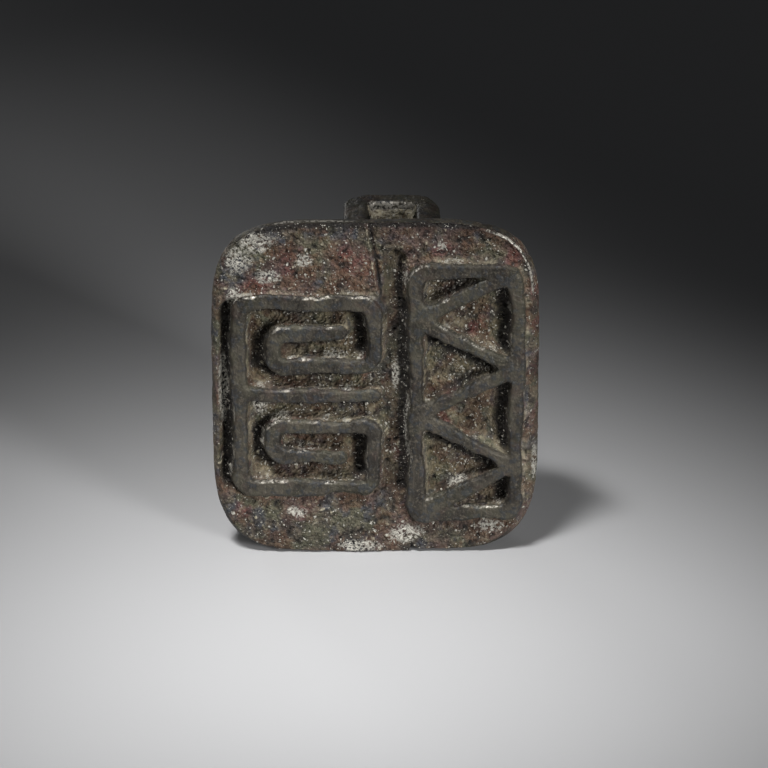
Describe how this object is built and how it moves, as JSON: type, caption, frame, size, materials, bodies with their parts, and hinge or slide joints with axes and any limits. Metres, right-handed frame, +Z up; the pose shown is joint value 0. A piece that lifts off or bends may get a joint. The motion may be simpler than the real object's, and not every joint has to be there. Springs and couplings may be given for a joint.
{
  "type": "bronze stamp seal",
  "caption": "Rounded square bronze stamp seal with a raised geometric fret on its face and a strap loop on its back for a cord.",
  "frame": {"origin": "middle of the bottom of the whole object's box, on the surface that the seal stands on", "axes": "+Z is up as the seal stands, the relief face looks along -Y and the loop stands out along +Y, +X is to the right when the face is looked at"},
  "size_m": [0.04, 0.0274, 0.0436],
  "materials": {
    "cast_bronze": "dark worn patina with ochre and red corrosion",
    "loop_bronze": "dark patina with earth in the hollows",
    "solder": "dull grey-green corrosion"
  },
  "bodies": {
    "root": {"seal_block": "cast_bronze", "loop_knob": "loop_bronze", "solder_seam_left": "solder", "solder_seam_right": "solder"}
  },
  "joints": []
}
